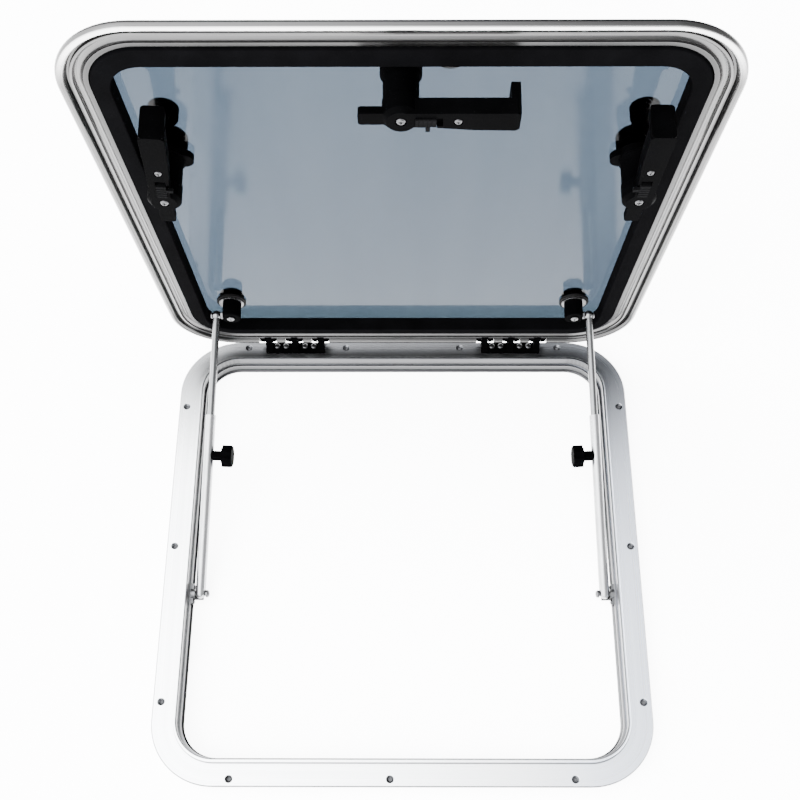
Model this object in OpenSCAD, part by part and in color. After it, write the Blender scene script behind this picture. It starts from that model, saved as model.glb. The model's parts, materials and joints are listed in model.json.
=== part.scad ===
// Square aluminium deck hatch, modelled with its lid standing open.
// Millimetres, +Z up. The origin is the centre of the opening, on the deck plane
// under the flange. The hinges are on the +Y side.

/* [Base frame] */
// Outside width and depth of the base flange
base_size = 600; // [580:10:640]
// Outside corner radius of the base flange
base_corner_r = 78; // [74:1:80]
// Thickness of the base flange
flange_t = 4; // [4:0.5:5]
// Height of the seal rim above the flange
rim_h = 8; // [7:0.5:9]
// Depth of the neck below the deck plane
neck_depth = 16; // [15:0.5:18]
// Diameter of the deck screw holes
deck_hole_d = 5.2; // [4.2:0.2:5.6]
// Diameter of the countersinks of the deck screw holes
deck_sink_d = 9.6; // [8.8:0.2:10]

/* [Lid] */
// Angle that the lid stands open at
lid_open = 83; // [75:1:90]
// Outside corner radius of the lid frame
lid_corner_r = 80; // [76:1:81]
// Thickness of the acrylic pane
pane_t = 10; // [8:1:10]
// Width of the rubber seal
seal_w = 18; // [17:0.5:18.5]

/* [Hinges] */
// Distance of each hinge from the middle of the hatch
hinge_x = 147; // [140:1:160]
// Width of a hinge base leaf
hinge_leaf_w = 79; // [78:1:84]
// Width of one hinge ear
ear_w = 8.5; // [7:0.5:9]
// Diameter of the hinge pins
hinge_pin_d = 5; // [4:0.5:5]

/* [Handles] */
// Distance of a handle's spindle from the flange's outer edge
handle_inset = 70; // [69.5:0.5:71]
// Length of an inner lever from its spindle to its end
lever_len = 102; // [94:1:106]
// Width of an inner lever
lever_w = 23; // [22:1:26]
// Reach of the locking tongue from the spindle
tongue_reach = 37; // [36:0.5:39]
// Length of an outer lever from its spindle to its end
outer_lever_len = 58; // [54:1:62]
// Turn of the left handle towards the middle of the pane
left_handle_turn = 6; // [0:1:8]
// Diameter of the handle spindles
spindle_d = 12; // [10:1:13]

/* [Stays] */
// Outside diameter of a stay tube
tube_d = 12.5; // [12:0.5:13]
// Diameter of a stay rod
rod_d = 9; // [8.5:0.5:9]
// Length of a stay tube above its pivot
tube_len = 226; // [222:1:230]
// Distance of the clamp knob above the tube's pivot
knob_at = 175; // [165:1:185]
// Diameter of the clamp knob
knob_d = 28; // [26:1:30]

/* [Hidden] */

// Free gap between solids that belong to different moving bodies
gap = 0.3;
// Diametral play of a pin or shaft in its bore
play = 0.1;
// Overshoot of a cutting solid past the face that it cuts
cut = 0.5;
$fn = 64;

// Base frame section, as distances in from the flange's outer edge
base_half = base_size / 2;
rim_foot_in = 27;
rim_top_in = 28.2;
wall_in = 31.5;
neck_out_in = 28.5;
band_in = 34;
lip_in = 36;
groove_depth = 0.9;
groove_top = -0.5;
groove_bottom = -3;
rim_top_z = flange_t + rim_h;
band_x = base_half - band_in;
lip_x = base_half - lip_in;
hole_line = base_half - 9;
side_hole_line = base_half - 10;
side_hole_pitch = 200;
front_hole_x = 203;
front_middle_x = -14;
rear_inner_x = 78;
rear_outer_x = 211.5;

// Hinge axis, and the lid measured from it. On the lid, s runs from the axis to the
// free edge and v runs from the axis plane to the inner side.
seal_v = 9.2;
hinge_y = base_half - 2;
axis_z = rim_top_z + gap + seal_v;
lid_half = base_half - 0.5;
slope_low = [2.1, -3.24];
slope_high = [17, 8.2];
slope = atan2(slope_high[1] - slope_low[1], slope_high[0] - slope_low[0]);
slope_drop = (slope_low[0] - lid_half + hinge_y) * sin(slope) - slope_low[1] * cos(slope);
bead_r = 4.2;
bead_at = [4.9, -6.4];
groove_in = 10.4;
groove_w = 1.8;
groove_v = 4.4;
pane_v = -6;
pane_top_v = pane_v - pane_t;
pane_in = 30;
seat_in = 28.5;
seal_out_in = 29.6;
channel_v = -1.5;
ledge_in = seal_out_in + seal_w - 1.2;
lip_v = 12;
sealant_t = 0.5;
splice_w = 28;

// Hinges
ear_r = 7.5;
ear_pitch = hinge_leaf_w / 2 - ear_w / 2 + 0.25;
ear_offsets = [-ear_pitch, 0, ear_pitch];
leaf_t = 3;
leaf_front_y = hinge_y - 16;
leaf_back_y = hinge_y - 0.5;
leaf_screw_offsets = [-25, -13, 13, 25];
leaf_screw_y = hinge_y - 6.5;
notch_r = ear_r + 0.5;
notch_s = 9.8;
boss_r = 3.2;
boss_tip_r = 2.7;
boss_len = 7;
boss_gap = 0.3;
boss_notch_s = 7.8;
pin_len = 19;
plate_t = 2.5;
plate_low = 2;
plate_high = 16.5;
plate_w = 93;
plate_screw_offsets = [-24, -12, 12, 24];
plate_screw_at = 12;
plate_screw_d = 3;
plate_screw_len = 6.5;

// Handles, with z measured down from the pane's inner face
spindle_bore = spindle_d + play;
pane_hole_d = spindle_d + 4;
sleeve_r = 16.5;
escutcheon_t = 8;
ear_reach = 26;
ear_width = 19;
tongue_t = 7.5;
tongue_w = 15;
tongue_v = axis_z + neck_depth + 0.8;
arm_t = 16;
lever_v = tongue_v + 10.7;
hub_v = lever_v - arm_t;
hub_bevel = 4;
arm_waist = 4.5;
hook_t = 8;
hook_v = lever_v - 34;
second_screw_x = 49;
pocket_x = 12;
pocket_len = 24;
pocket_w = 10;
pocket_depth = 4;
catch_len = 18;
catch_proud = 1.5;
nub_at = 8.7;
nub_w = 4;
nub_reach = 11;
side_handle_y = -106;
handle_x = base_half - handle_inset;
outer_lever_z = pane_t + 2;
outer_lever_t = 12;
grip_r = 14.5;

// Stays, with the upper pivot given on the lid
pivot_x = base_half - 46;
pivot_y = -61;
pivot_z = -4.5;
anchor_s = 94;
anchor_bolt_v = 14.5;
stay_top_x = base_half - 64;
stay_top_y = hinge_y - anchor_s * cos(lid_open) - anchor_bolt_v * sin(lid_open);
stay_top_z = axis_z + anchor_s * sin(lid_open) - anchor_bolt_v * cos(lid_open);
stay_run = norm([stay_top_y - pivot_y, stay_top_z - pivot_z]);
stay_rise = atan2(stay_top_z - pivot_z, stay_top_y - pivot_y);
stay_lean = atan2(stay_top_x - pivot_x, stay_run);
stay_len = norm([stay_run, stay_top_x - pivot_x]);
rod_low = 196;
tube_plug = 14;
pivot_bolt_d = 5;
knob_boss_in = 4;
knob_boss_out = 10;
knob_neck_out = 17.5;
knob_head_t = 13;
knob_neck_d = 12.5;
stud_d = 6;
rod_bolt_d = 6;
anchor_x = base_half - 82;
anchor_r = 12.5;
anchor_flat = 9.6;
nut_t = 2.4;
anchor_foot_v = -1.4;
anchor_end_v = 19;
washer_r = 18.5;
washer_t = 3;
ring_r = 15.5;
stud_hole_d = 10;
cap_stud_d = 8;
anchor_ring_z = down(anchor_foot_v);

// Stay brackets on the inner wall of the base
bracket_t = 3;
bracket_w = 26;
bracket_top = groove_bottom - 0.4;
bracket_low = -neck_depth + 3.2;
bracket_foot_t = 1.6;
bracket_screw_z = -8;
bracket_screw_pitch = 19;

// A square frame with rounded corners, swept from a cross-section whose x is the
// distance in from the frame's outer edge and whose y is the height.
module swept_frame(half_x, half_y, corner_r) {
    for (side = [0:3]) {
        out = side % 2 == 0 ? half_x : half_y;
        straight = (side % 2 == 0 ? half_y : half_x) - corner_r;
        rotate([0, 0, 90 * side]) {
            translate([out, 0, 0])
                rotate([90, 0, 0])
                    linear_extrude(2 * straight, center = true)
                        mirror([1, 0])
                            children();
            translate([out - corner_r, straight, 0])
                rotate_extrude(angle = 90)
                    translate([corner_r, 0])
                        mirror([1, 0])
                            children();
        }
    }
}

// Turns the lid from its closed place to the angle that it stands open at.
module open_lid() {
    translate([0, hinge_y, axis_z])
        rotate([-lid_open, 0, 0])
            translate([0, -hinge_y, -axis_z])
                children();
}

// The right-hand pieces are the drawn ones; the left-hand pieces mirror them.
module on_left() {
    mirror([1, 0, 0])
        children();
}

// A countersunk through hole for a deck screw, cut from the flange.
module deck_hole(x, y) {
    sink_depth = (deck_sink_d - deck_hole_d) / 2;
    translate([x, y, -cut])
        cylinder(d = deck_hole_d, h = flange_t + 2 * cut);
    translate([x, y, flange_t - sink_depth])
        cylinder(d1 = deck_hole_d, d2 = deck_sink_d, h = sink_depth);
    translate([x, y, flange_t])
        cylinder(d = deck_sink_d, h = cut);
}

// A pan-head screw along -Z: the head stands on z = 0 and has a cross recess.
module pan_screw(head_d, head_h, shank_d, shank_len) {
    slot_w = head_d * 0.16;
    slot_len = head_d * 0.56;
    difference() {
        union() {
            cylinder(d = head_d, h = head_h * 0.6);
            translate([0, 0, head_h * 0.6])
                cylinder(d1 = head_d, d2 = head_d * 0.72, h = head_h * 0.4);
            translate([0, 0, -shank_len])
                cylinder(d = shank_d, h = shank_len + head_h * 0.3);
        }
        for (turn = [0, 90])
            rotate([0, 0, turn])
                translate([-slot_len / 2, -slot_w / 2, head_h * 0.45])
                    cube([slot_len, slot_w, head_h]);
    }
}

// ---- Base frame ----

module base_section() {
    edge = 1.3;
    polygon([
        [0, 0],
        [0, flange_t - edge],
        [edge, flange_t],
        [rim_foot_in, flange_t],
        [rim_top_in, rim_top_z - 0.6],
        [rim_top_in + 0.6, rim_top_z],
        [wall_in - 0.6, rim_top_z],
        [wall_in, rim_top_z - 0.6],
        [wall_in, groove_top],
        [wall_in - groove_depth, groove_top],
        [wall_in - groove_depth, groove_bottom],
        [band_in, groove_bottom],
        [band_in, -neck_depth + 3],
        [lip_in, -neck_depth + 2],
        [lip_in, -neck_depth],
        [neck_out_in, -neck_depth],
        [neck_out_in, 0]
    ]);
}

module base_frame() {
    color("gainsboro")
        difference() {
            swept_frame(base_half, base_half, base_corner_r)
                base_section();
            for (x = [-1, 1], y = [-1, 0, 1])
                deck_hole(x * side_hole_line, y * side_hole_pitch);
            for (x = [-front_hole_x, front_middle_x, front_hole_x])
                deck_hole(x, -hole_line);
            for (x = [-1, 1], at = [rear_inner_x, rear_outer_x])
                deck_hole(x * at, hole_line);
            hinge_screw_places()
                translate([0, 0, -leaf_t - flange_t - cut])
                    cylinder(d = 4, h = flange_t + 2 * cut);
            for (side = [-1, 1])
                bracket_screw_places(side)
                    translate([0, 0, -bracket_t - 5])
                        cylinder(d = 3.5, h = 5 + cut);
        }
}

// Filler where the two ends of the base extrusion meet behind the hinges.
module base_splice() {
    color("silver")
        translate([-splice_w / 2, base_half - wall_in, groove_bottom])
            cube([splice_w, groove_depth, groove_top - groove_bottom]);
}

// ---- Hinges ----

module hinge_screw_places() {
    for (side = [-1, 1], at = leaf_screw_offsets)
        translate([side * hinge_x + at, leaf_screw_y, flange_t + leaf_t])
            children();
}

// Outline of one hinge ear with its foot on the leaf, in the y-z plane.
module ear_outline() {
    polygon([
        [leaf_front_y, flange_t],
        [leaf_front_y, flange_t + leaf_t],
        [hinge_y - 12, flange_t + leaf_t + 2],
        [hinge_y - 7.2, axis_z - 2],
        [hinge_y, axis_z],
        [hinge_y + 6.5, axis_z - 3.6],
        [leaf_back_y, flange_t]
    ]);
    translate([hinge_y, axis_z])
        circle(r = ear_r);
}

// The cross-axis solids of a hinge lie along x, centred on an offset.
module along_x(width) {
    translate([-width / 2, 0, 0])
        rotate([90, 0, 90])
            linear_extrude(width)
                children();
}

module hinge_base() {
    leaf_h = leaf_back_y - leaf_front_y;
    color([0.1, 0.1, 0.11])
        difference() {
            union() {
                translate([hinge_x - hinge_leaf_w / 2, leaf_front_y, flange_t])
                    cube([hinge_leaf_w, leaf_h, leaf_t]);
                for (at = ear_offsets)
                    translate([hinge_x + at, 0, 0])
                        along_x(ear_w)
                            ear_outline();
            }
            for (at = leaf_screw_offsets)
                translate([hinge_x + at, leaf_screw_y, flange_t - cut])
                    cylinder(d = 4, h = leaf_t + 2 * cut);
            translate([hinge_x - hinge_leaf_w, hinge_y, axis_z])
                rotate([0, 90, 0])
                    cylinder(d = hinge_pin_d + play, h = 2 * hinge_leaf_w);
        }
}

module hinge_base_screws() {
    color("silver")
        hinge_screw_places()
            pan_screw(7.6, 2.4, 4, leaf_t + flange_t + 9);
}

// Frame on the sloping back of the closed lid: x runs along the hinge axis, y down the
// slope towards the lid's edge and z away from the lid; the axis is at the origin.
module on_slope() {
    translate([0, hinge_y, axis_z])
        rotate([-slope, 0, 0])
            children();
}

// Lid half of a hinge: a plate on the sloping back of the lid frame, with a tapered
// pin boss on both sides of each ear. Drawn on the closed lid.
module hinge_lid() {
    color([0.1, 0.1, 0.11])
        difference() {
            union() {
                on_slope()
                    translate([hinge_x - plate_w / 2, -plate_high, -slope_drop])
                        cube([plate_w, plate_high + plate_low, plate_t]);
                for (at = ear_offsets, side = [-1, 1])
                    translate([hinge_x + at, hinge_y, axis_z])
                        rotate([0, 90 * side, 0])
                            translate([0, 0, ear_w / 2 + gap])
                                cylinder(r1 = boss_r, r2 = boss_tip_r, h = boss_len);
            }
            for (at = ear_offsets)
                ear_space(hinge_x + at);
            for (at = ear_offsets)
                translate([hinge_x + at - pin_len / 2, hinge_y, axis_z])
                    rotate([0, 90, 0])
                        cylinder(d = hinge_pin_d, h = pin_len);
            on_slope()
                for (at = plate_screw_offsets)
                    translate([hinge_x + at, -plate_screw_at, -slope_drop - cut])
                        cylinder(d = plate_screw_d, h = plate_t + 2 * cut);
        }
}

// Room round one hinge ear.
module ear_space(x) {
    translate([x - ear_w / 2 - gap, hinge_y, axis_z])
        rotate([0, 90, 0])
            cylinder(r = notch_r, h = ear_w + 2 * gap);
}

// Clearance that the lid frame leaves round each hinge ear and its pin bosses.
module ear_notches() {
    boss_notch_w = ear_w + 2 * (gap + boss_len + boss_gap);
    for (side = [-1, 1], at = ear_offsets) {
        x = side * (hinge_x + at);
        ear_space(x);
        translate([x - ear_w / 2 - gap, hinge_y - notch_s, axis_z - 12])
            cube([ear_w + 2 * gap, notch_s + 3, 12]);
        translate([x - boss_notch_w / 2, hinge_y - boss_notch_s, axis_z - 12])
            cube([boss_notch_w, boss_notch_s + 3, 15]);
    }
}

module hinge_pins() {
    color("silver")
        open_lid()
            for (side = [-1, 1], at = ear_offsets)
                translate([side * (hinge_x + at) - pin_len / 2, hinge_y, axis_z])
                    rotate([0, 90, 0])
                        cylinder(d = hinge_pin_d, h = pin_len);
}

module plate_screw_places() {
    on_slope()
        for (side = [-1, 1], at = plate_screw_offsets)
            translate([side * (hinge_x + at), -plate_screw_at, plate_t - slope_drop])
                children();
}

module hinge_lid_screws() {
    color("silver")
        open_lid()
            plate_screw_places()
                pan_screw(5.5, 1.5, plate_screw_d, plate_t + plate_screw_len);
}

// ---- Lid frame, pane and seal, drawn on the closed lid ----

// Lid frame section; heights are measured up from the hinge axis, and the side that
// faces the deck is the negative one. The back slopes up from a round bead to the pane.
module lid_section() {
    cove_r = 4.6;
    cove_at = [19.5, -6.5];
    difference() {
        union() {
            polygon([
                slope_low,
                slope_high,
                [seat_in, -pane_top_v],
                [seat_in, -pane_v - sealant_t],
                [ledge_in, -pane_v - sealant_t],
                [ledge_in, -channel_v],
                [seal_out_in, -channel_v],
                [seal_out_in, -5.4],
                [seal_out_in - 1.2, -6.6],
                [groove_in + groove_w + 0.6, -6.6],
                [groove_in + groove_w, -groove_v],
                [groove_in, -groove_v],
                [bead_at[0] + bead_r - 0.1, bead_at[1]],
                bead_at
            ]);
            translate(bead_at)
                circle(r = bead_r);
        }
        translate(cove_at)
            circle(r = cove_r);
    }
}

module closed_lid_frame() {
    difference() {
        translate([0, 0, axis_z])
            swept_frame(lid_half, lid_half, lid_corner_r)
                lid_section();
        ear_notches();
        plate_screw_places()
            translate([0, 0, -plate_t - plate_screw_len])
                cylinder(d = plate_screw_d, h = plate_screw_len + cut);
    }
}

module lid_frame() {
    color("gainsboro")
        open_lid()
            closed_lid_frame();
}

// Filler where the two ends of the lid extrusion meet between the hinges.
module lid_splice() {
    color("silver")
        open_lid()
            translate([-splice_w / 2, lid_half - groove_in - groove_w, axis_z - groove_v - 1.8])
                cube([splice_w, groove_w, 1.8]);
}

// Rubber seal: it fills the lid frame's channel, meets the rim near its outer edge and
// ends in a lip that hangs into the opening.
module seal_section() {
    seal_in = seal_out_in + seal_w;
    hollow_r = 2.6;
    difference() {
        polygon([
            [seal_out_in, -channel_v],
            [seal_out_in, -7.4],
            [seal_out_in + 0.7, -8.7],
            [seal_out_in + 1.9, -seal_v],
            [seal_out_in + 9, -seal_v - 0.3],
            [seal_in - 2.4, -lip_v],
            [seal_in - 1, -lip_v],
            [seal_in - 0.3, -lip_v + 0.8],
            [seal_in, -pane_v - sealant_t],
            [ledge_in, -pane_v - sealant_t],
            [ledge_in, -channel_v]
        ]);
        translate([seal_out_in + 7, -3.8])
            circle(r = hollow_r);
    }
}

module lid_seal() {
    color([0.07, 0.07, 0.08])
        open_lid()
            translate([0, 0, axis_z])
                swept_frame(lid_half, lid_half, lid_corner_r)
                    seal_section();
}

// Adhesive between the pane and the lid frame, under its face and round its edge.
module pane_sealant() {
    color([0.05, 0.05, 0.05])
        open_lid()
            translate([0, 0, axis_z])
                swept_frame(lid_half, lid_half, lid_corner_r)
                    polygon([
                        [seat_in, -pane_v - sealant_t],
                        [ledge_in, -pane_v - sealant_t],
                        [ledge_in, -pane_v],
                        [pane_in, -pane_v],
                        [pane_in, -pane_top_v],
                        [seat_in, -pane_top_v]
                    ]);
}

// Outline of the pane, a rounded rectangle.
module pane_outline() {
    half = lid_half - pane_in;
    r = lid_corner_r - pane_in;
    rounded_plate(2 * half, 2 * half, r);
}

// A rounded rectangle centred on the origin.
module rounded_plate(length, width, r) {
    square([length, width - 2 * r], center = true);
    square([length - 2 * r, width], center = true);
    for (x = [-1, 1], y = [-1, 1])
        translate([x * (length / 2 - r), y * (width / 2 - r)])
            circle(r = r);
}

module pane() {
    color([0.6, 0.68, 0.74, 0.6])
        open_lid()
            difference() {
                translate([0, 0, axis_z - pane_v])
                    linear_extrude(pane_t)
                        pane_outline();
                handle_places()
                    translate([0, 0, -cut])
                        cylinder(d = pane_hole_d, h = pane_t + 2 * cut);
                for (side = [-1, 1])
                    translate([side * anchor_x, hinge_y - anchor_s, axis_z - pane_v - cut])
                        cylinder(d = stud_hole_d, h = pane_t + 2 * cut);
            }
}

// ---- Handles, drawn round their spindle with z = 0 on the pane's inner face ----

module centre_place() {
    translate([0, -handle_x, axis_z - pane_v])
        children();
}

module left_place() {
    translate([-handle_x, side_handle_y, axis_z - pane_v])
        rotate([0, 0, -90])
            children();
}

module handle_places() {
    centre_place()
        children();
    left_place()
        children();
    on_left()
        left_place()
            children();
}

module centre_handle() {
    open_lid()
        centre_place()
            children();
}

module left_handle() {
    open_lid()
        left_place()
            rotate([0, 0, left_handle_turn])
                children();
}

module right_handle() {
    open_lid()
        on_left()
            left_place()
                children();
}

// Distance below the pane's inner face of a height v on the lid.
function down(v) = -(v - pane_v);

// Foot of the handle on the pane, with an ear towards the middle of the pane.
module escutcheon() {
    color([0.1, 0.1, 0.11])
        translate([0, 0, -escutcheon_t])
            difference() {
                union() {
                    cylinder(r = sleeve_r + 2, h = escutcheon_t);
                    translate([0, ear_reach - ear_width / 2, 0])
                        cylinder(d = ear_width, h = escutcheon_t - 1);
                    translate([-ear_width / 2, 0, 0])
                        cube([ear_width, ear_reach - ear_width / 2, escutcheon_t - 1]);
                }
                translate([0, 0, -cut])
                    cylinder(d = spindle_bore, h = escutcheon_t + 2 * cut);
            }
}

// Fixed sleeve that carries the spindle between the escutcheon and the lever.
module sleeve() {
    top = down(hub_v) + gap;
    height = -escutcheon_t - top;
    color([0.09, 0.09, 0.1])
        translate([0, 0, top])
            difference() {
                union() {
                    cylinder(r = sleeve_r - 0.7, h = height);
                    cylinder(r = sleeve_r, h = 4);
                    translate([0, 0, height - 5])
                        cylinder(r1 = sleeve_r - 0.7, r2 = sleeve_r + 1, h = 5);
                }
                translate([0, 0, -cut])
                    cylinder(d = spindle_bore, h = height + 2 * cut);
            }
}

module spindle() {
    low = down(lever_v) + 6;
    top = outer_lever_z + outer_lever_t - 3;
    color("silver")
        translate([0, 0, low])
            difference() {
                cylinder(d = spindle_d, h = top - low);
                translate([0, 0, -cut])
                    cylinder(d = 5, h = 8 + cut);
            }
}

// Lever on the outside of the pane, with a waisted arm and a round grip at its end.
module outer_lever() {
    grip_x = outer_lever_len - grip_r;
    color([0.1, 0.1, 0.11])
        translate([0, 0, outer_lever_z])
            difference() {
                union() {
                    cylinder(r = 19, h = outer_lever_t - 2);
                    translate([0, 0, outer_lever_t - 2])
                        cylinder(r1 = 19, r2 = 17, h = 2);
                    translate([0, -7.5, 0])
                        cube([grip_x, 15, outer_lever_t - 1]);
                    translate([grip_x, 0, 0])
                        cylinder(r = grip_r, h = outer_lever_t - 1);
                }
                translate([0, 0, -cut])
                    cylinder(d = spindle_d, h = outer_lever_t - 3 + cut);
            }
}

// Lever on the inside: a hub with the locking tongue, an arm with a pocket for the
// catch, and a hook at its end that turns back towards the pane.
module inner_lever() {
    face = down(lever_v);
    arm_side = lever_w / 2;
    hook_w = lever_w - 1;
    hook_len = lever_v - hook_v;
    corner = 3;
    color([0.09, 0.09, 0.1])
        difference() {
            union() {
                translate([0, 0, face])
                    cylinder(r1 = sleeve_r - hub_bevel, r2 = sleeve_r, h = hub_bevel);
                translate([0, 0, face + hub_bevel])
                    cylinder(r = sleeve_r, h = arm_t - hub_bevel);
                translate([0, 0, face])
                    linear_extrude(arm_t)
                        polygon([
                            [0, -arm_side],
                            [lever_len - corner, -arm_side],
                            [lever_len, corner - arm_side],
                            [lever_len, arm_side - corner],
                            [lever_len - corner, arm_side],
                            [lever_len * 0.6, arm_side - 1],
                            [24, arm_side - arm_waist],
                            [0, arm_side - arm_waist]
                        ]);
                translate([lever_len - hook_t, 0, face + hook_len / 2])
                    rotate([0, 90, 0])
                        linear_extrude(hook_t)
                            rounded_plate(hook_len, hook_w, 4);
                translate([lever_len - hook_t - 4, 4 - arm_side, face + arm_t - 1])
                    cube([4 + cut, lever_w - 8, 4]);
                translate([-tongue_reach / 2, 0, down(tongue_v + tongue_t)])
                    linear_extrude(tongue_t)
                        rounded_plate(tongue_reach, tongue_w, corner);
            }
            translate([0, 0, face + 6])
                cylinder(d = spindle_d, h = arm_t);
            translate([0, 0, face - cut])
                cylinder(d = 10, h = 2 + cut);
            translate([0, 0, face])
                cylinder(d = 5, h = 7);
            translate([second_screw_x, 0, face - cut])
                cylinder(d = 8, h = 1.6 + cut);
            translate([second_screw_x, 0, face])
                cylinder(d = 4, h = 9);
            translate([pocket_x, -pocket_w / 2, face - cut])
                cube([pocket_len, pocket_w, pocket_depth + cut]);
            translate([pocket_x + nub_at, pocket_w / 2 - cut, face - cut])
                cube([nub_w + 6, lever_w / 2, pocket_depth - 1 + cut]);
        }
}

// Pivot screw into the spindle and the second screw of the lever.
module lever_screws() {
    color("silver") {
        translate([0, 0, down(lever_v) + 2])
            rotate([180, 0, 0])
                pan_screw(8, 2.4, 5, 12);
        translate([second_screw_x, 0, down(lever_v) + 1.6])
            rotate([180, 0, 0])
                pan_screw(6.5, 2, 4, 7.4);
    }
}

// Sliding catch in the lever's pocket, moved by the nub at its side.
module catch() {
    body_w = pocket_w - 2 * gap;
    body_h = pocket_depth - gap + catch_proud;
    face = down(lever_v);
    color([0.14, 0.14, 0.15])
        difference() {
            union() {
                translate([pocket_x + gap, -body_w / 2, face - catch_proud])
                    cube([catch_len, body_w, body_h]);
                translate([pocket_x + nub_at + gap, 0, face - catch_proud])
                    cube([nub_w, nub_reach, catch_proud + 2]);
            }
            for (rib = [0:3])
                translate([pocket_x + 3 + 3.6 * rib, -body_w / 2 - cut, face - catch_proud - cut])
                    cube([1.2, body_w + 2 * cut, cut + 0.5]);
        }
}

// Rubber washers that seal the outer levers to the pane.
module handle_seals() {
    color([0.05, 0.05, 0.05])
        open_lid()
            handle_places()
                translate([0, 0, pane_t])
                    difference() {
                        cylinder(r = 18, h = outer_lever_z - pane_t - gap);
                        translate([0, 0, -cut])
                            cylinder(d = spindle_bore, h = outer_lever_z - pane_t + cut);
                    }
}

// ---- Stay anchors on the pane, drawn round their own axis ----

module anchor_place() {
    open_lid()
        translate([anchor_x, hinge_y - anchor_s, axis_z - pane_v])
            children();
}

module anchor_places() {
    anchor_place()
        children();
    on_left()
        anchor_place()
            children();
}

module stay_anchor() {
    height = anchor_end_v - anchor_foot_v;
    color([0.1, 0.1, 0.11])
        anchor_place()
            difference() {
                translate([0, 0, down(anchor_end_v)])
                    union() {
                        cylinder(r1 = anchor_r - 1, r2 = anchor_r, h = 1);
                        translate([0, 0, 1])
                            cylinder(r = anchor_r, h = height - 1);
                    }
                translate([anchor_flat, -anchor_r, down(anchor_end_v) - cut])
                    cube([anchor_r, 2 * anchor_r, height + 2 * cut]);
                translate([0, 0, down(anchor_end_v) - cut])
                    cylinder(d = 5, h = height + 2 * cut);
                translate([4, 0, down(anchor_bolt_v)])
                    rotate([0, 90, 0])
                        cylinder(d = rod_bolt_d, h = anchor_r);
            }
}

module anchor_washers() {
    color([0.05, 0.05, 0.05])
        anchor_places() {
            translate([0, 0, -washer_t])
                difference() {
                    cylinder(r = washer_r, h = washer_t);
                    translate([0, 0, -cut])
                        cylinder(d = cap_stud_d, h = washer_t + 2 * cut);
                }
            translate([0, 0, pane_t])
                difference() {
                    cylinder(r = ring_r, h = 1.5);
                    translate([0, 0, -cut])
                        cylinder(d = cap_stud_d, h = 1.5 + 2 * cut);
                }
        }
}

module anchor_rings() {
    height = -anchor_ring_z - washer_t;
    color("silver")
        anchor_places()
            translate([0, 0, anchor_ring_z])
                difference() {
                    cylinder(r = ring_r, h = height);
                    translate([0, 0, -cut])
                        cylinder(d = cap_stud_d, h = height + 2 * cut);
                }
}

module anchor_screws() {
    color("silver")
        anchor_places()
            translate([0, 0, down(anchor_end_v)])
                rotate([180, 0, 0])
                    pan_screw(9, 2.2, 5, -down(anchor_end_v) - 2);
}

// Cap on the outside of the pane, with the threaded stud that goes through it.
module anchor_caps() {
    color("silver")
        anchor_places()
            difference() {
                union() {
                    translate([0, 0, pane_t + 1.5])
                        cylinder(r = 14.5, h = 2);
                    translate([0, 0, pane_t + 3.5])
                        cylinder(r1 = 14.5, r2 = 11, h = 2.5);
                    translate([0, 0, anchor_ring_z])
                        cylinder(d = cap_stud_d, h = pane_t + 2 - anchor_ring_z);
                }
                translate([0, 0, anchor_ring_z - cut])
                    cylinder(d = 5, h = -anchor_ring_z - 2 + cut);
            }
}

// ---- Stays, drawn on the right-hand side ----

// Frame of a stay: z runs up the tube from its pivot; lean tips it to the middle.
module on_stay(lean) {
    translate([pivot_x, pivot_y, pivot_z])
        rotate([stay_rise - 90, 0, 0])
            rotate([0, lean, 0])
                children();
}

module stay_tube() {
    color("whitesmoke")
        difference() {
            on_stay(stay_lean)
                difference() {
                    union() {
                        sphere(d = tube_d);
                        cylinder(d = tube_d, h = tube_len);
                    }
                    translate([0, 0, tube_plug])
                        cylinder(d = rod_d + play, h = tube_len);
                    translate([0, 0, knob_at])
                        rotate([0, -90, 0])
                            cylinder(d = stud_d + play, h = tube_d);
                }
            translate([pivot_x - tube_d, pivot_y, pivot_z])
                rotate([0, 90, 0])
                    cylinder(d = pivot_bolt_d + play, h = 2 * tube_d);
        }
}

// Threaded boss on the tube that the clamp knob screws into.
module clamp_boss() {
    color([0.1, 0.1, 0.11])
        on_stay(stay_lean)
            difference() {
                translate([0, 0, knob_at])
                    rotate([0, -90, 0])
                        difference() {
                            translate([0, 0, knob_boss_in])
                                cylinder(d = knob_neck_d, h = knob_boss_out - knob_boss_in);
                            translate([0, 0, -cut])
                                cylinder(d = stud_d + play, h = knob_boss_out + 2 * cut);
                        }
                translate([0, 0, knob_at - knob_neck_d])
                    cylinder(d = tube_d, h = 2 * knob_neck_d);
            }
}

// Clamp knob with finger flutes round its head.
module knob() {
    flutes = 6;
    flute_r = 6;
    flute_depth = 2.2;
    bevel = 1.5;
    color([0.1, 0.1, 0.11])
        on_stay(stay_lean)
            translate([0, 0, knob_at])
                rotate([0, -90, 0])
                    difference() {
                        union() {
                            translate([0, 0, knob_boss_out + gap])
                                cylinder(d = knob_neck_d, h = knob_neck_out - knob_boss_out);
                            translate([0, 0, knob_neck_out])
                                cylinder(d = knob_d, h = knob_head_t - bevel);
                            translate([0, 0, knob_neck_out + knob_head_t - bevel])
                                cylinder(d1 = knob_d, d2 = knob_d - 2 * bevel, h = bevel);
                        }
                        for (flute = [0:flutes - 1])
                            rotate([0, 0, (flute + 0.5) * 360 / flutes])
                                translate([knob_d / 2 + flute_r - flute_depth, 0, knob_neck_out - cut])
                                    cylinder(r = flute_r, h = knob_head_t + 2 * cut);
                        cylinder(d = stud_d, h = knob_neck_out + 6);
                    }
}

module knob_stud() {
    start = rod_d / 2 + gap;
    color("silver")
        on_stay(stay_lean)
            translate([0, 0, knob_at])
                rotate([0, -90, 0])
                    translate([0, 0, start])
                        cylinder(d = stud_d, h = knob_neck_out + 6 - start);
}

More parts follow.
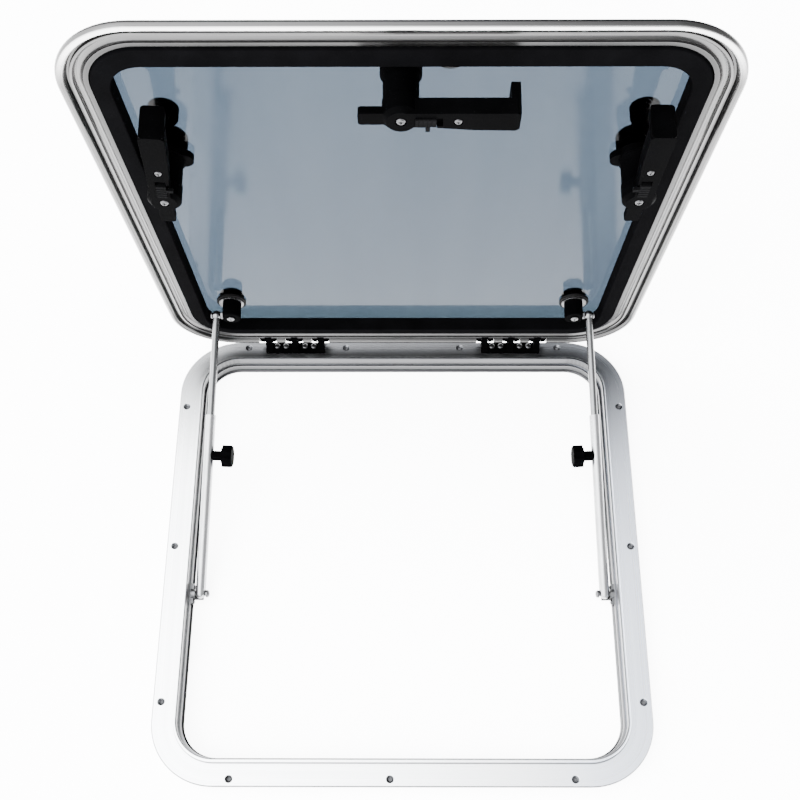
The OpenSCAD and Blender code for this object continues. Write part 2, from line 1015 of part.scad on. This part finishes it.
module stay_rod() {
    eye_r = 6;
    color("whitesmoke")
        difference() {
            on_stay(stay_lean)
                union() {
                    translate([0, 0, rod_low])
                        cylinder(d = rod_d, h = stay_len - rod_low);
                    translate([0, 0, stay_len])
                        sphere(r = eye_r);
                }
            translate([stay_top_x - 10, stay_top_y, stay_top_z])
                rotate([0, 90, 0])
                    cylinder(d = rod_bolt_d, h = 20);
        }
}

// Bolt and nut at the top of the rod. They ride on the rod and stop just short of
// the anchor's flat side.
module stay_bolt() {
    start = anchor_x + anchor_flat + gap;
    nut_x = start + 0.3;
    head_x = stay_top_x + 5.4;
    head_t = 1.6;
    color("silver")
        translate([0, stay_top_y, stay_top_z])
            rotate([0, 90, 0]) {
                translate([0, 0, start])
                    cylinder(d = rod_bolt_d, h = head_x + head_t / 2 - start);
                translate([0, 0, nut_x])
                    cylinder(d = 9.5, h = nut_t, $fn = 6);
                translate([0, 0, head_x])
                    cylinder(d1 = 9, d2 = 7, h = head_t);
            }
}

// ---- Stay brackets on the inner wall of the base ----

module bracket_screw_places(side) {
    for (at = [-0.5, 0.5])
        translate([side * (band_x - bracket_t), pivot_y + at * bracket_screw_pitch, bracket_screw_z])
            rotate([0, -90 * side, 0])
                children();
}

module stay_bracket() {
    boss_top = band_x - pivot_x - tube_d / 2 - 0.35;
    color("lightgray")
        difference() {
            union() {
                translate([band_x - bracket_t, pivot_y - bracket_w / 2, bracket_low])
                    cube([bracket_t, bracket_w, bracket_top - bracket_low]);
                translate([band_x, pivot_y, pivot_z])
                    rotate([0, -90, 0])
                        cylinder(d = 12, h = boss_top);
                translate([band_x - 15, pivot_y - 6, bracket_low])
                    cube([15, 12, bracket_foot_t]);
            }
            translate([band_x - boss_top - cut, pivot_y, pivot_z])
                rotate([0, 90, 0])
                    cylinder(d = pivot_bolt_d, h = boss_top + 2 * cut);
            bracket_screw_places(1)
                translate([0, 0, -bracket_t - cut])
                    cylinder(d = 3.5, h = bracket_t + 2 * cut);
            translate([band_x, pivot_y - bracket_w, bracket_low - cut])
                cube([10, 2 * bracket_w, 30]);
        }
}

module bracket_screws() {
    color("silver")
        for (side = [-1, 1])
            bracket_screw_places(side)
                pan_screw(6, 1.6, 3.5, bracket_t + 5);
}

// Bolts of the lower pivots, with their heads towards the middle of the opening.
module stay_pivot_bolts() {
    head_in = pivot_x - tube_d / 2 - 0.5;
    color("silver")
        for (side = [-1, 1])
            translate([side * head_in, pivot_y, pivot_z])
                rotate([0, -90 * side, 0])
                    pan_screw(9.5, 4, pivot_bolt_d, band_x - head_in);
}

base_frame();
base_splice();
on_left() hinge_base();  // left_hinge_base
hinge_base();  // right_hinge_base
hinge_base_screws();
on_left() stay_bracket();  // left_stay_bracket
stay_bracket();  // right_stay_bracket
bracket_screws();
stay_pivot_bolts();
lid_frame();
lid_splice();
lid_seal();
pane_sealant();
pane();
on_left() open_lid() hinge_lid();  // left_hinge_lid
open_lid() hinge_lid();  // right_hinge_lid
hinge_pins();
hinge_lid_screws();
on_left() stay_anchor();  // left_stay_anchor
stay_anchor();  // right_stay_anchor
anchor_washers();
anchor_rings();
anchor_screws();
anchor_caps();
centre_handle() escutcheon();  // centre_escutcheon
on_left() right_handle() escutcheon();  // left_escutcheon
right_handle() escutcheon();  // right_escutcheon
centre_handle() sleeve();  // centre_sleeve
left_handle() sleeve();  // left_sleeve
right_handle() sleeve();  // right_sleeve
handle_seals();
centre_handle() outer_lever();  // centre_outer_lever
left_handle() outer_lever();  // left_outer_lever
right_handle() outer_lever();  // right_outer_lever
centre_handle() spindle();  // centre_spindle
left_handle() spindle();  // left_spindle
right_handle() spindle();  // right_spindle
centre_handle() inner_lever();  // centre_inner_lever
left_handle() inner_lever();  // left_inner_lever
right_handle() inner_lever();  // right_inner_lever
centre_handle() lever_screws();  // centre_lever_screws
left_handle() lever_screws();  // left_lever_screws
right_handle() lever_screws();  // right_lever_screws
centre_handle() catch();  // centre_catch
left_handle() catch();  // left_catch
right_handle() catch();  // right_catch
on_left() stay_tube();  // left_stay_tube
stay_tube();  // right_stay_tube
on_left() clamp_boss();  // left_clamp_boss
clamp_boss();  // right_clamp_boss
on_left() stay_rod();  // left_stay_rod
stay_rod();  // right_stay_rod
on_left() stay_bolt();  // left_stay_bolt
stay_bolt();  // right_stay_bolt
on_left() knob();  // left_knob
knob();  // right_knob
on_left() knob_stud();  // left_knob_stud
knob_stud();  // right_knob_stud
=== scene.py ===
"""Looks of the square deck hatch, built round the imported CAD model.

Metres, +Z up. The hinges are on the +Y side, and the lid stands open.
"""

import json
import math

import bmesh
import bpy
from mathutils import Matrix, Vector


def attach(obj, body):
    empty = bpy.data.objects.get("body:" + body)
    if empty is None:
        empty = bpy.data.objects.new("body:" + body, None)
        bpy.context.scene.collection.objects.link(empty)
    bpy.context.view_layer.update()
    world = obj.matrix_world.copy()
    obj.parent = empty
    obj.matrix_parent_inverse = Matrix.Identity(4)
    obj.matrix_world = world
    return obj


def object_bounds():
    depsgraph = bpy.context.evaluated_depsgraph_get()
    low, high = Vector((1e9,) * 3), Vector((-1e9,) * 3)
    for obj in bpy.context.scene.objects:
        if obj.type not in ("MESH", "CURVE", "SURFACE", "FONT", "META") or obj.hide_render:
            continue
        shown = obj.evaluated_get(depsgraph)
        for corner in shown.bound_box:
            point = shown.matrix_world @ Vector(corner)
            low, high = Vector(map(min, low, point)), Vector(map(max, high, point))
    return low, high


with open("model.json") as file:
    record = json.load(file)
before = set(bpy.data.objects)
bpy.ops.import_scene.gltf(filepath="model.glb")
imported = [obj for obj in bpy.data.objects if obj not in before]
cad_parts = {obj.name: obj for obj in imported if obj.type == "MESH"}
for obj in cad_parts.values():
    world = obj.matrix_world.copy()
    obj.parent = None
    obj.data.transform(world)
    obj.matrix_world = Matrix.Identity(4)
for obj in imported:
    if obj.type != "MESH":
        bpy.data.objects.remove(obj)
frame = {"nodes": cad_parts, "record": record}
nodes = frame["nodes"]
cad_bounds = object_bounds()

# ---- Places on the hatch ----

# The lid stands open about the hinge axis; on it s runs to the free edge and v to the inner side.
hinge_y = 0.298
hinge_z = 0.0215
lid_angle = math.radians(83.0)
lid_middle = 0.298
# Distance of each hinge from the middle, and of its outer ears from its middle one.
hinge_x = 0.147
ear_pitch = 0.0355
ear_half_width = 0.00425
# Where the corners' arcs of the base frame and of the lid frame are centred, from the middle.
base_corner = 0.222
lid_corner = 0.2195
# Outer edges of the lid frame and of the base flange, and the base frame's inner wall, from the middle.
lid_edge = 0.2995
flange_edge = 0.3
wall_at = 0.2685
rim_top_z = 0.012
flange_top_z = 0.004

# ---- Shader helpers ----


class Graph:
    """A material's node tree with short calls for the nodes that are used here."""

    def __init__(self, name):
        self.material = bpy.data.materials.new(name)
        self.material.use_nodes = True
        self.tree = self.material.node_tree
        self.tree.nodes.clear()
        self.out = self.add("ShaderNodeOutputMaterial")
        self.shader = self.add("ShaderNodeBsdfPrincipled")
        self.link(self.shader.outputs["BSDF"], self.out.inputs["Surface"])

    def add(self, kind, **settings):
        node = self.tree.nodes.new(kind)
        for key, value in settings.items():
            setattr(node, key, value)
        return node

    def link(self, a, b):
        self.tree.links.new(a, b)

    def put(self, value, socket):
        if isinstance(value, bpy.types.NodeSocket):
            self.link(value, socket)
        else:
            socket.default_value = value

    def math(self, operation, a, b=0.0):
        node = self.add("ShaderNodeMath", operation=operation)
        for socket, value in zip(node.inputs, (a, b)):
            self.put(value, socket)
        return node.outputs[0]

    def vector(self, operation, a, b=(0.0, 0.0, 0.0)):
        node = self.add("ShaderNodeVectorMath", operation=operation)
        self.put(a, node.inputs[0])
        self.put(b, node.inputs[1])
        return node.outputs["Value" if operation in ("DOT_PRODUCT", "LENGTH") else "Vector"]

    def place(self):
        return self.add("ShaderNodeTexCoord").outputs["Object"]

    def split(self, vector):
        node = self.add("ShaderNodeSeparateXYZ")
        self.link(vector, node.inputs[0])
        return node.outputs

    def join(self, x, y, z=0.0):
        node = self.add("ShaderNodeCombineXYZ")
        for socket, value in zip(node.inputs, (x, y, z)):
            self.put(value, socket)
        return node.outputs[0]

    def noise(self, vector, scale, detail=2.0, rough=0.5, warp=0.0):
        node = self.add("ShaderNodeTexNoise")
        self.link(vector, node.inputs["Vector"])
        node.inputs["Scale"].default_value = scale
        node.inputs["Detail"].default_value = detail
        node.inputs["Roughness"].default_value = rough
        node.inputs["Distortion"].default_value = warp
        return node.outputs["Fac"]

    def map(self, value, low, high, to_low, to_high, smooth=False):
        node = self.add("ShaderNodeMapRange", clamp=True)
        if smooth:
            node.interpolation_type = "SMOOTHSTEP"
        self.put(value, node.inputs["Value"])
        names = ("From Min", "From Max", "To Min", "To Max")
        for name, number in zip(names, (low, high, to_low, to_high)):
            self.put(number, node.inputs[name])
        return node.outputs["Result"]

    def ramp(self, value, stops, tint=(1.0, 1.0, 1.0)):
        """Grey tones blended along a value; every stop gives a place and a tone."""
        node = self.add("ShaderNodeValToRGB")
        elements = node.color_ramp.elements
        reach = stops[-1][0]
        while len(elements) < len(stops):
            elements.new(1.0)
        for element, (at, tone) in zip(elements, stops):
            element.position = at / reach
            element.color = (tone * tint[0], tone * tint[1], tone * tint[2], 1.0)
        self.link(self.map(value, 0.0, reach, 0.0, 1.0), node.inputs[0])
        return node.outputs["Color"]

    def mix(self, share, a, b):
        node = self.add("ShaderNodeMix", data_type="RGBA")
        self.put(share, node.inputs["Factor"])
        self.put(a, node.inputs[6])
        self.put(b, node.inputs[7])
        return node.outputs[2]

    def bump(self, height, strength, distance):
        node = self.add("ShaderNodeBump")
        node.inputs["Strength"].default_value = strength
        node.inputs["Distance"].default_value = distance
        self.link(height, node.inputs["Height"])
        self.link(node.outputs["Normal"], self.shader.inputs["Normal"])

    def set(self, **values):
        for key, value in values.items():
            self.put(value, self.shader.inputs[key.replace("_", " ")])


def rgb(r, g, b):
    return (r, g, b, 1.0)


def dress(material, *names):
    for name in names:
        data = nodes[name].data
        data.materials.clear()
        data.materials.append(material)


# ---- Camera ----

camera_data = bpy.data.cameras.new("camera")
camera = bpy.data.objects.new("camera", camera_data)
bpy.context.scene.collection.objects.link(camera)
camera_data.lens = 46.199
camera_data.sensor_width = 36.0
camera_data.shift_x = -0.00096
camera_data.shift_y = 0.16317
camera_data.clip_start = 0.01
camera_data.clip_end = 50.0
right = Vector((0.999987, 0.002395, -0.004453))
up = Vector((-0.00061, 0.931417, 0.363954))
back = Vector((0.005019, -0.363947, 0.931406))
camera.matrix_world = Matrix((
    (right.x, up.x, back.x, 0.00449),
    (right.y, up.y, back.y, -0.45701),
    (right.z, up.z, back.z, 1.22773),
    (0.0, 0.0, 0.0, 1.0),
))
bpy.context.scene.camera = camera

# ---- Floor and light ----

floor_gap = 0.0005
floor_z = cad_bounds[0].z - floor_gap
bpy.ops.mesh.primitive_plane_add(size=14.0, location=(0.0, 0.0, floor_z))
floor = bpy.context.object
floor.name = "floor"
g = Graph("floor")
g.set(Base_Color=rgb(0.93, 0.93, 0.93), Roughness=0.9, Specular_IOR_Level=0.1,
      Emission_Color=rgb(1.0, 1.0, 1.0), Emission_Strength=8.0)
floor.data.materials.append(g.material)

world = bpy.data.worlds.new("world")
bpy.context.scene.world = world
world.use_nodes = True
tree = world.node_tree
way = tree.nodes.new("ShaderNodeTexCoord")
part = tree.nodes.new("ShaderNodeSeparateXYZ")
tree.links.new(way.outputs["Generated"], part.inputs[0])


def sky_ramp(axis, low, high, to_low, to_high):
    """Strength of the sky between two directions along one axis."""
    ramp = tree.nodes.new("ShaderNodeMapRange")
    ramp.interpolation_type = "SMOOTHSTEP"
    tree.links.new(part.outputs[axis], ramp.inputs["Value"])
    names = ("From Min", "From Max", "To Min", "To Max")
    for name, number in zip(names, (low, high, to_low, to_high)):
        ramp.inputs[name].default_value = number
    return ramp.outputs["Result"]


# The light falls from the upper left, and the room behind the lid is dim.
strength = tree.nodes.new("ShaderNodeMath")
strength.operation = "MULTIPLY"
tree.links.new(sky_ramp("X", -0.25, 0.26, 14.0, 1.5), strength.inputs[0])
tree.links.new(sky_ramp("Y", 0.40, 0.53, 1.0, 0.1), strength.inputs[1])
sky = tree.nodes["Background"]
sky.inputs[0].default_value = rgb(0.97, 0.985, 1.0)
tree.links.new(strength.outputs[0], sky.inputs[1])


lamp_place = Vector((-1.6, -0.9, 2.4))
lamp_target = Vector((0.0, 0.1, 0.2))
lamp_data = bpy.data.lights.new("key", "AREA")
lamp_data.shape = "RECTANGLE"
lamp_data.size = lamp_data.size_y = 1.4
lamp_data.energy = 40.0
lamp = bpy.data.objects.new("key", lamp_data)
bpy.context.scene.collection.objects.link(lamp)
lamp.location = lamp_place
lamp.rotation_euler = (lamp_target - lamp_place).to_track_quat("-Z", "Y").to_euler()

# ---- Shape of the edges ----


def round_edges(o, width):
    """Rounds the sharp edges of an object a little."""
    bevel = o.modifiers.new("bevel", "BEVEL")
    bevel.width = width
    bevel.segments = 2
    bevel.limit_method = "ANGLE"
    bevel.angle_limit = math.radians(35.0)
    bevel.harden_normals = True


def soften(name, width):
    """Joins the shell of a CAD node, merges its flat faces and rounds its sharp edges."""
    o = nodes[name]
    bpy.context.view_layer.objects.active = o
    if o.data.has_custom_normals:
        bpy.ops.mesh.customdata_custom_splitnormals_clear()
    for polygon in o.data.polygons:
        polygon.use_smooth = True
    weld = o.modifiers.new("weld", "WELD")
    weld.merge_threshold = 0.00001
    flat = o.modifiers.new("flat", "DECIMATE")
    flat.decimate_type = "DISSOLVE"
    flat.angle_limit = math.radians(0.7)
    round_edges(o, width)


edge_widths = {
    "base_aluminium": 0.0003, "lid_aluminium": 0.0003, "bracket_aluminium": 0.0004, "stay_aluminium": 0.0003,
    "weld": 0.0002, "stay_steel": 0.0003, "stainless": 0.00015, "black_nylon": 0.0005, "handle_nylon": 0.0009,
    "catch_nylon": 0.0003, "seal_rubber": 0.0006, "sealant": 0.0001, "tinted_acrylic": 0.0004,
}
slots = {}
for row in frame["record"]["subparts"]:
    slots.setdefault(row["material_slot"], []).append(row["node"])
for slot_name, names in slots.items():
    for name in names:
        soften(name, edge_widths[slot_name])

# ---- Small pieces that the CAD model leaves to the looks ----


def new_piece(name, mesh_builder, body):
    """Object from a bmesh with its edges rounded a little, riding on a body."""
    bm = bmesh.new()
    mesh_builder(bm)
    bmesh.ops.recalc_face_normals(bm, faces=bm.faces)
    data = bpy.data.meshes.new(name)
    bm.to_mesh(data)
    bm.free()
    for polygon in data.polygons:
        polygon.use_smooth = True
    piece = bpy.data.objects.new(name, data)
    bpy.context.scene.collection.objects.link(piece)
    round_edges(piece, 0.0001)
    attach(piece, body)
    return piece


def rounded_loop(bm, half, corner, z):
    """Closed loop of points round a square with rounded corners."""
    middle = half - corner
    steps = 16
    loop = []
    for quarter, (sx, sy) in enumerate(((1, 1), (-1, 1), (-1, -1), (1, -1))):
        for step in range(steps + 1):
            angle = math.radians(90.0 * (quarter + step / steps))
            x = sx * middle + corner * math.cos(angle)
            y = sy * middle + corner * math.sin(angle)
            loop.append(bm.verts.new((x, y, z)))
    return loop


def screw_hole_shade_sheet_mesh(bm):
    """Thin dark sheet under the flange that stands in for shade, and shows grey through the screw holes."""
    outer, inner = 0.2975, 0.2745
    low, high = -0.00045, -0.00005
    section = ((outer, low), (outer, high), (inner, high), (inner, low))
    loops = [rounded_loop(bm, half, half - base_corner, z) for half, z in section]
    count = len(loops[0])
    for one, two in zip(loops, loops[1:] + loops[:1]):
        for i in range(count):
            bm.faces.new((one[i], one[(i + 1) % count], two[(i + 1) % count], two[i]))


def fairing_mesh(side):
    """Tapered cones that lead the lid half of a hinge up to each ear, beside the pins."""
    ear_gap = 0.0004
    length = 0.0068
    at_ear = 0.0039
    at_tip = 0.0024
    s, v = 0.0026, 0.0052
    y = hinge_y - s * math.cos(lid_angle) - v * math.sin(lid_angle)
    z = hinge_z + s * math.sin(lid_angle) - v * math.cos(lid_angle)
    turn = Matrix.Rotation(math.radians(90.0), 4, "Y")

    def build(bm):
        for ear in (-1, 0, 1):
            for way in (-1, 1):
                x = side * (hinge_x + ear * ear_pitch) + way * (ear_half_width + ear_gap + length / 2)
                radii = (at_ear, at_tip) if way > 0 else (at_tip, at_ear)
                bmesh.ops.create_cone(bm, cap_ends=True, segments=28, radius1=radii[0], radius2=radii[1],
                                      depth=length, matrix=Matrix.Translation((x, y, z)) @ turn)
    return build


# A dark sheet put under the flange only as painted shade in the screw holes.
screw_hole_shade_sheet = new_piece("screw_hole_shade_sheet", screw_hole_shade_sheet_mesh, "base")
fairings = [new_piece("left_hinge_fairing", fairing_mesh(-1), "lid"),
            new_piece("right_hinge_fairing", fairing_mesh(1), "lid")]

# ---- Materials ----


def lid_places(g):
    """Across (x), along (s from the lid's middle) and depth (v) of a point on the open lid."""
    x, y, z = g.split(g.place())
    dy = g.math("SUBTRACT", hinge_y, y)
    dz = g.math("SUBTRACT", z, hinge_z)
    cosine, sine = math.cos(lid_angle), math.sin(lid_angle)
    s = g.math("ADD", g.math("MULTIPLY", dy, cosine), g.math("MULTIPLY", dz, sine))
    v = g.math("SUBTRACT", g.math("MULTIPLY", dy, sine), g.math("MULTIPLY", dz, cosine))
    return x, g.math("SUBTRACT", s, lid_middle), v


def ring_places(g, a, b, corner):
    """Distance out from the middle of a square ring with rounded corners, and distance along its sides."""
    out_a = g.math("ABSOLUTE", a)
    out_b = g.math("ABSOLUTE", b)
    past_a = g.math("MAXIMUM", g.math("SUBTRACT", out_a, corner), 0.0)
    past_b = g.math("MAXIMUM", g.math("SUBTRACT", out_b, corner), 0.0)
    out = g.math("ADD", g.vector("LENGTH", g.join(past_a, past_b)), corner)
    return out, g.math("MINIMUM", out_a, out_b)


def band(g, value, low, high, blend):
    """One between two values and zero outside them."""
    rise = g.map(value, low - blend, low + blend, 0.0, 1.0, True)
    fall = g.map(value, high - blend, high + blend, 1.0, 0.0, True)
    return g.math("MULTIPLY", rise, fall)


def drawn(g, out, along, depth):
    """Fine lines along an extrusion, as roughness and relief."""
    across_scale = 900.0
    along_scale = 2.0
    places = g.join(g.math("MULTIPLY", out, across_scale), g.math("MULTIPLY", along, along_scale),
                    g.math("MULTIPLY", depth, across_scale))
    grain = g.noise(places, 1.0, 3.0, 0.6)
    g.bump(grain, 0.12, 0.0004)
    return grain


def base_metal():
    """Drawn aluminium: a bright flange with painted dark reflection towards and behind the lid, a painted
    cool tint on the right, painted shade on the grey walls, in the screw holes and on the outer edge, and
    painted shadow as thin dark lines at the rim.
    """
    g = Graph("base_aluminium")
    x, y, z = g.split(g.place())
    out, along = ring_places(g, x, y, base_corner)
    grain = drawn(g, out, along, z)
    cloud = g.noise(g.place(), 9.0, 3.0)
    # Painted reflection: the flange darkens towards the far side and most behind the lid, standing in for the
    # dark lid and dim room it reflects.
    far_dark_reflection = g.map(y, 0.08, 0.27, 0.0, 1.0, True)
    behind = g.math("MULTIPLY", g.map(y, 0.24, 0.275, 0.0, 1.0, True),
                    g.map(g.math("ABSOLUTE", x), 0.2, 0.275, 1.0, 0.0, True))
    shade = g.mix(far_dark_reflection, rgb(0.93, 0.94, 0.95), rgb(0.24, 0.24, 0.241))
    shade = g.mix(behind, shade, rgb(0.125, 0.126, 0.131))
    # Painted light: the right side of the flange, which is lit less, takes a cool tint.
    cool_side_tint = g.map(x, 0.12, 0.28, 0.0, 1.0, True)
    shade = g.mix(cool_side_tint, shade, g.vector("MULTIPLY", shade, (0.86, 0.9, 0.99)))
    wall = g.map(out, wall_at - 0.0001, wall_at + 0.0007, 1.0, 0.0)
    # Painted shade on the inner walls of the opening, less of it on the near right, and a lighter band from
    # 3.4 mm to 0.2 mm below z = 0.
    near_right = g.math("MULTIPLY", g.map(x, 0.1, 0.24, 0.0, 1.0, True),
                        g.map(y, -0.02, 0.16, 1.0, 0.0, True))
    painted_wall_shade = g.mix(near_right, rgb(0.024, 0.0243, 0.0252), rgb(0.085, 0.085, 0.087))
    shade = g.mix(wall, shade, painted_wall_shade)
    channel = g.math("MULTIPLY", wall, band(g, z, -0.0034, -0.0002, 0.0002))
    shade = g.mix(channel, shade, rgb(0.2, 0.2, 0.205))
    # Painted shade on the walls of the screw holes through the flange.
    screw_hole_shade_mask = g.math("MULTIPLY", band(g, out, 0.2735, flange_edge - 0.0016, 0.0001),
                  band(g, z, 0.0002, flange_top_z - 0.0002, 0.0001))
    shade = g.mix(screw_hole_shade_mask, shade, rgb(0.012, 0.012, 0.013))
    # Painted shade on the chamfer round the flange's outer edge, darkest along the near side.
    edge = g.map(out, flange_edge - 0.0016, flange_edge - 0.0011, 0.0, 1.0)
    near = g.map(y, -0.28, -0.2, 0.0, 1.0, True)
    painted_edge_shade = g.mix(near, rgb(0.035, 0.035, 0.037), rgb(0.12, 0.12, 0.124))
    shade = g.mix(edge, shade, painted_edge_shade)
    # Painted shadow lines: where the rim's foot meets the flange, and along the rim's inner top edge.
    foot = g.math("MULTIPLY", band(g, out, 0.2708, 0.2734, 0.0002), band(g, z, 0.0038, 0.0088, 0.0005))
    brim = g.math("MULTIPLY", band(g, out, wall_at - 0.0001, wall_at + 0.0014, 0.0002),
                  g.map(z, rim_top_z - 0.0025, rim_top_z - 0.0015, 0.0, 1.0))
    shade = g.mix(g.math("MAXIMUM", foot, brim), shade, rgb(0.035, 0.0355, 0.037))
    streak = g.mix(wall, rgb(0.45, 0.46, 0.48), rgb(0.05, 0.05, 0.055))
    tone = g.mix(g.map(grain, 0.3, 0.7, 0.0, 0.12), shade, streak)
    patch = g.mix(wall, rgb(0.6, 0.62, 0.66), rgb(0.03, 0.03, 0.033))
    tone = g.mix(g.map(cloud, 0.35, 0.7, 0.0, 0.1), tone, patch)
    g.set(Base_Color=tone, Metallic=1.0, Roughness=g.map(grain, 0.2, 0.8, 0.24, 0.36))
    return g.material


# Painted highlights and shade across the lid frame's inner side, for the sides and for the free end: distance
# in from its outer edge, and tone.
side_painted_tones = [(0.0, 0.05), (0.0014, 0.05), (0.0028, 0.085), (0.0066, 0.08), (0.0088, 0.045),
              (0.0102, 0.04), (0.0122, 0.04), (0.0132, 0.07), (0.0155, 0.09), (0.0225, 0.08),
              (0.0248, 0.028), (0.03, 0.015)]
free_end_painted_tones = [(0.0, 0.05), (0.0018, 0.05), (0.003, 0.55), (0.0084, 0.6), (0.0096, 0.05),
                  (0.0122, 0.035), (0.0134, 0.05), (0.016, 0.07), (0.0225, 0.055), (0.025, 0.022),
                  (0.03, 0.015)]


def lid_metal():
    """Drawn aluminium whose inner side has a painted highlight on the bead at the free end, and painted
    highlights and shade elsewhere that grey down to the seal and darken towards the hinge.
    """
    g = Graph("lid_aluminium")
    x, s, v = lid_places(g)
    out, along = ring_places(g, x, s, lid_corner)
    grain = drawn(g, out, along, v)
    deep = g.math("SUBTRACT", lid_edge, out)
    sides = g.ramp(deep, side_painted_tones, (1.0, 0.985, 0.975))
    free_end = g.ramp(deep, free_end_painted_tones, (1.0, 0.985, 0.98))
    at_end = g.map(g.math("SUBTRACT", s, g.math("ABSOLUTE", x)), -0.07, 0.0, 0.0, 1.0, True)
    shade = g.mix(at_end, sides, free_end)
    # Painted shade: the inner side darkens towards the hinge end.
    shade = g.mix(g.map(s, -0.28, -0.22, 0.35, 0.0, True), shade, rgb(0.01, 0.01, 0.01))
    inner = g.map(v, 0.0, 0.0015, 0.0, 1.0)
    shade = g.mix(inner, rgb(0.3, 0.302, 0.306), shade)
    tone = g.mix(g.map(grain, 0.3, 0.7, 0.0, 0.12), shade, rgb(0.1, 0.1, 0.102))
    g.set(Base_Color=tone, Metallic=1.0, Roughness=g.map(grain, 0.2, 0.8, 0.2, 0.32))
    return g.material


def metal(name, colour, dark, rough, scale=220.0, stretch=(1.0, 1.0, 1.0), relief=0.05):
    """Bare metal with darker grain; the grain may be drawn out along one axis."""
    g = Graph(name)
    place = g.vector("MULTIPLY", g.place(), stretch)
    grain = g.noise(place, scale, 3.0, 0.6)
    g.set(Base_Color=g.mix(g.map(grain, 0.3, 0.72, 0.0, 0.45), colour, dark), Metallic=1.0,
          Roughness=g.map(grain, 0.2, 0.8, rough, rough + 0.12))
    g.bump(grain, relief, 0.0002)
    return g.material


def moulded(name, colour, worn, rough, scale=700.0, relief=0.18, sheen=0.025):
    """Plastic or rubber with a fine moulded grain and faint lighter clouds."""
    g = Graph(name)
    grain = g.noise(g.place(), scale, 2.0, 0.6)
    cloud = g.noise(g.place(), 28.0, 4.0, 0.55)
    g.set(Base_Color=g.mix(g.map(cloud, 0.35, 0.75, 0.0, 1.0), colour, worn),
          Roughness=g.map(cloud, 0.3, 0.7, rough, rough + 0.14), Specular_IOR_Level=sheen)
    g.bump(grain, relief, 0.0003)
    return g.material


def acrylic():
    """Tinted pane with faint upright folds, darker along its hinge side."""
    g = Graph("tinted_acrylic")
    x, s, _ = lid_places(g)
    folds = g.noise(g.join(g.math("MULTIPLY", x, 26.0), g.math("MULTIPLY", s, 1.6)), 1.0, 3.0, 0.55, 0.4)
    haze = g.noise(g.join(x, s), 5.0, 2.0, 0.5)
    tint = g.mix(g.map(folds, 0.36, 0.66, 0.0, 1.0), rgb(0.0137, 0.0192, 0.0265), rgb(0.0155, 0.0212, 0.0285))
    low_band = g.map(s, -0.245, -0.215, 0.45, 0.0, True)
    tint = g.mix(low_band, tint, rgb(0.006, 0.0115, 0.0135))
    g.set(Base_Color=tint, Roughness=g.map(haze, 0.3, 0.7, 0.06, 0.12), IOR=1.12,
          Transmission_Weight=1.0, Specular_IOR_Level=0.5)
    return g.material


black = rgb(0.0003, 0.0003, 0.00035)
worn_black = rgb(0.0007, 0.0007, 0.0008)
along_stay = (1.0, 0.1, 0.3)
finishes = {
    "base_aluminium": base_metal(),
    "lid_aluminium": lid_metal(),
    "bracket_aluminium": metal("bracket_aluminium", rgb(0.11, 0.111, 0.114), rgb(0.05, 0.0505, 0.052), 0.3),
    "stay_aluminium": metal("stay_aluminium", rgb(0.3, 0.302, 0.306), rgb(0.16, 0.161, 0.165), 0.24, 300.0,
                            along_stay),
    "stay_steel": metal("stay_steel", rgb(0.12, 0.121, 0.123), rgb(0.06, 0.06, 0.062), 0.14, 300.0,
                        along_stay, 0.03),
    "weld": metal("weld", rgb(0.06, 0.061, 0.063), rgb(0.025, 0.0255, 0.0265), 0.42, 500.0, relief=0.3),
    "stainless": metal("stainless", rgb(0.09, 0.09, 0.092), rgb(0.03, 0.03, 0.031), 0.22, 400.0),
    "black_nylon": moulded("black_nylon", black, worn_black, 0.5, sheen=0.0015),
    "handle_nylon": moulded("handle_nylon", black, worn_black, 0.42, 800.0, 0.14, 0.002),
    "catch_nylon": moulded("catch_nylon", rgb(0.0014, 0.0014, 0.0015), rgb(0.003, 0.003, 0.0032), 0.5,
                           sheen=0.003),
    "seal_rubber": moulded("seal_rubber", rgb(0.0008, 0.0008, 0.0009), rgb(0.0014, 0.0014, 0.0016), 0.7,
                           500.0, 0.3, 0.0012),
    "sealant": moulded("sealant", rgb(0.002, 0.002, 0.002), rgb(0.005, 0.005, 0.005), 0.6, 400.0, 0.3, 0.04),
    "tinted_acrylic": acrylic(),
}
for slot_name, material in finishes.items():
    dress(material, *slots[slot_name])
screws = metal("screws", rgb(0.055, 0.055, 0.057), rgb(0.015, 0.015, 0.016), 0.36, 500.0)
dress(screws, "hinge_base_screws", "hinge_lid_screws", "centre_lever_screws", "left_lever_screws",
      "right_lever_screws", "bracket_screws")

# Grey finish of the sheet that paints shade into the screw holes.
screw_hole_shade_finish = moulded("screw_hole_shade_sheet", rgb(0.06, 0.0605, 0.063), rgb(0.085, 0.0855, 0.09), 0.8, 400.0, 0.3, 0.01)
screw_hole_shade_sheet.data.materials.append(screw_hole_shade_finish)
for fairing in fairings:
    fairing.data.materials.append(finishes["black_nylon"])
